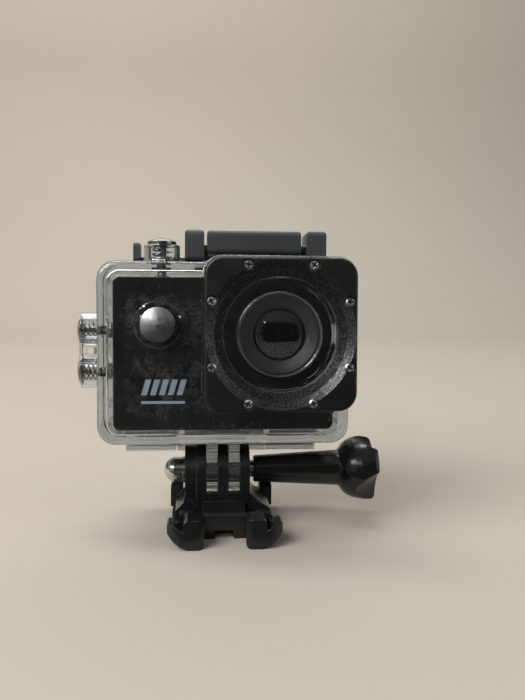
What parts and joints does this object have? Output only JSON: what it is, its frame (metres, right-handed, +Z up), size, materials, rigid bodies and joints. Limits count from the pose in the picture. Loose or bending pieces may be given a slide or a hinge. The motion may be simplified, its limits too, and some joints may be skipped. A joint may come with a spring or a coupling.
{
  "type": "action camera",
  "caption": "Compact action camera inside a clear latched dive housing, on a tilting finger mount with a thumb screw and a quick-release buckle.",
  "frame": {"origin": "On the underside of the buckle base, straight below the tilt pivot.", "axes": "+Z up from the buckle, -Y is the way the lens looks, +X towards the thumb screw's knob."},
  "size_m": [0.0849, 0.0448, 0.0832],
  "materials": {
    "clear_polycarbonate": "clear polished, light wear",
    "window_glass": "flat polished",
    "black_nitrile": "satin",
    "frame_black": "fine sparkling texture",
    "screw_steel": "polished",
    "clear_silicone": "translucent satin",
    "pin_steel": "ground",
    "latch_black": "fine matte texture",
    "dome_steel": "satin spun",
    "spring_steel": "bright wire",
    "button_steel": "polished",
    "panel_gloss": "high gloss, dusty",
    "print_silver": "satin print",
    "camera_plastic": "soft satin",
    "lens_black": "black matte",
    "retainer_black": "dark anodised",
    "bezel_black": "semi gloss",
    "lens_glass": "coated",
    "sensor_green": "gloss",
    "board_green": "solder mask",
    "screen_black": "gloss",
    "battery_wrap": "satin film",
    "key_grey": "satin",
    "card_black": "matte",
    "connector_steel": "plated",
    "speaker_black": "matte",
    "light_pipe": "frosted",
    "mount_black": "satin moulded",
    "nut_chrome": "mirror plated",
    "bolt_steel": "zinc plated"
  },
  "bodies": {
    "buckle": {"buckle_base": "mount_black", "cap_nut": "nut_chrome"},
    "prong_left": {"buckle_prong_left": "mount_black"},
    "prong_right": {"buckle_prong_right": "mount_black"},
    "thumb_screw": {"thumb_screw_bolt": "bolt_steel", "thumb_screw_handle": "mount_black"},
    "latch_lever": {"latch_lever": "latch_black", "latch_arm_pin": "pin_steel"},
    "latch_arm": {"latch_arm": "latch_black"},
    "door": {"housing_door": "clear_polycarbonate", "door_gasket": "clear_silicone"},
    "front_push": {"front_button": "dome_steel", "front_button_clip": "button_steel"},
    "upper_push": {"upper_side_button": "button_steel", "upper_side_clip": "button_steel"},
    "lower_push": {"lower_side_button": "button_steel", "lower_side_clip": "button_steel"},
    "top_push": {"top_button": "button_steel", "top_button_clip": "button_steel"},
    "power_key": {"camera_power_button": "key_grey"},
    "up_key": {"camera_up_button": "key_grey"},
    "down_key": {"camera_down_button": "key_grey"},
    "ok_key": {"camera_ok_button": "key_grey"},
    "housing": {"housing_shell": "clear_polycarbonate", "port_window": "window_glass", "port_o_ring": "black_nitrile", "port_frame": "frame_black", "port_screws": "screw_steel", "door_hinge_pin": "pin_steel", "latch_lever_pin": "pin_steel", "front_button_spring": "spring_steel", "front_button_o_ring": "black_nitrile", "upper_side_spring": "spring_steel", "upper_side_o_ring": "black_nitrile", "lower_side_spring": "spring_steel", "lower_side_o_ring": "black_nitrile", "top_button_spring": "spring_steel", "top_button_o_ring": "black_nitrile", "camera_front_panel": "panel_gloss", "panel_print": "print_silver", "camera_front_shell": "camera_plastic", "camera_back_shell": "camera_plastic", "camera_screws": "screw_steel", "lens_barrel": "lens_black", "lens_retainer": "retainer_black", "lens_bezel": "bezel_black", "lens_front_glass": "lens_glass", "lens_inner_elements": "lens_glass", "image_sensor": "sensor_green", "main_board": "board_green", "lcd_screen": "screen_black", "battery": "battery_wrap", "battery_door": "camera_plastic", "memory_card": "card_black", "side_ports": "connector_steel", "speaker": "speaker_black", "status_lights": "light_pipe"}
  },
  "joints": [
    {"name": "camera_tilt", "type": "hinge", "parent": "buckle", "child": "housing", "pos_m": [0, 0, 0.0151], "axis": [1, 0, 0], "range_deg": [-30, 45]},
    {"name": "thumb_screw_turn", "type": "hinge", "parent": "buckle", "child": "thumb_screw", "pos_m": [0, 0, 0.0151], "axis": [1, 0, 0], "continuous": true},
    {"name": "prong_squeeze_right", "type": "hinge", "parent": "buckle", "child": "prong_right", "pos_m": [0.0103, -0.0072, 0.002], "axis": [0, 0, -1], "range_deg": [0, 4], "stiffness_Nm_per_rad": 0.4, "springref_deg": -0.57},
    {"name": "prong_squeeze_left", "type": "hinge", "parent": "buckle", "child": "prong_left", "pos_m": [-0.0103, -0.0072, 0.002], "axis": [0, 0, 1], "range_deg": [0, 4], "stiffness_Nm_per_rad": 0.4, "springref_deg": -0.57},
    {"name": "door_open", "type": "hinge", "parent": "housing", "child": "door", "pos_m": [0, 0.01248, 0.02015], "axis": [-1, 0, 0], "range_deg": [0, 95]},
    {"name": "latch_lever_lift", "type": "hinge", "parent": "housing", "child": "latch_lever", "pos_m": [0, 0.0028, 0.07804], "axis": [-1, 0, 0], "range_deg": [0, 80]},
    {"name": "latch_arm_swing", "type": "hinge", "parent": "latch_lever", "child": "latch_arm", "pos_m": [0, -0.00117, 0.07875], "axis": [1, 0, 0], "range_deg": [0, 160]},
    {"name": "front_button_press", "type": "slide", "parent": "housing", "child": "front_push", "axis": [0, 0.9986, -0.0523], "range_m": [0, 0.0007], "stiffness_N_per_m": 400, "springref_m": -0.0006, "deforming": ["front_button_spring"]},
    {"name": "upper_side_button_press", "type": "slide", "parent": "housing", "child": "upper_push", "axis": [1, 0, 0], "range_m": [0, 0.0009], "stiffness_N_per_m": 400, "springref_m": -0.0006, "deforming": ["upper_side_spring"]},
    {"name": "lower_side_button_press", "type": "slide", "parent": "housing", "child": "lower_push", "axis": [1, 0, 0], "range_m": [0, 0.0009], "stiffness_N_per_m": 400, "springref_m": -0.0006, "deforming": ["lower_side_spring"]},
    {"name": "top_button_press", "type": "slide", "parent": "housing", "child": "top_push", "axis": [0, -0.0523, -0.9986], "range_m": [0, 0.0009], "stiffness_N_per_m": 400, "springref_m": -0.0006, "deforming": ["top_button_spring"]},
    {"name": "power_key_press", "type": "slide", "parent": "housing", "child": "power_key", "axis": [0, 0.9986, -0.0523], "range_m": [0, 0.0007], "stiffness_N_per_m": 30, "springref_m": -0.0006},
    {"name": "up_key_press", "type": "slide", "parent": "housing", "child": "up_key", "axis": [1, 0, 0], "range_m": [0, 0.0009], "stiffness_N_per_m": 30, "springref_m": -0.0006},
    {"name": "down_key_press", "type": "slide", "parent": "housing", "child": "down_key", "axis": [1, 0, 0], "range_m": [0, 0.0009], "stiffness_N_per_m": 30, "springref_m": -0.0006},
    {"name": "ok_key_press", "type": "slide", "parent": "housing", "child": "ok_key", "axis": [0, -0.0523, -0.9986], "range_m": [0, 0.0009], "stiffness_N_per_m": 30, "springref_m": -0.0006}
  ],
  "couplings": [
    {"joint": "latch_lever_lift", "follows": "door_open", "ratio": 0.83333},
    {"joint": "latch_arm_swing", "follows": "door_open", "ratio": 1.6667},
    {"joint": "power_key_press", "follows": "front_button_press", "ratio": 1},
    {"joint": "up_key_press", "follows": "upper_side_button_press", "ratio": 1},
    {"joint": "down_key_press", "follows": "lower_side_button_press", "ratio": 1},
    {"joint": "ok_key_press", "follows": "top_button_press", "ratio": 1}
  ]
}
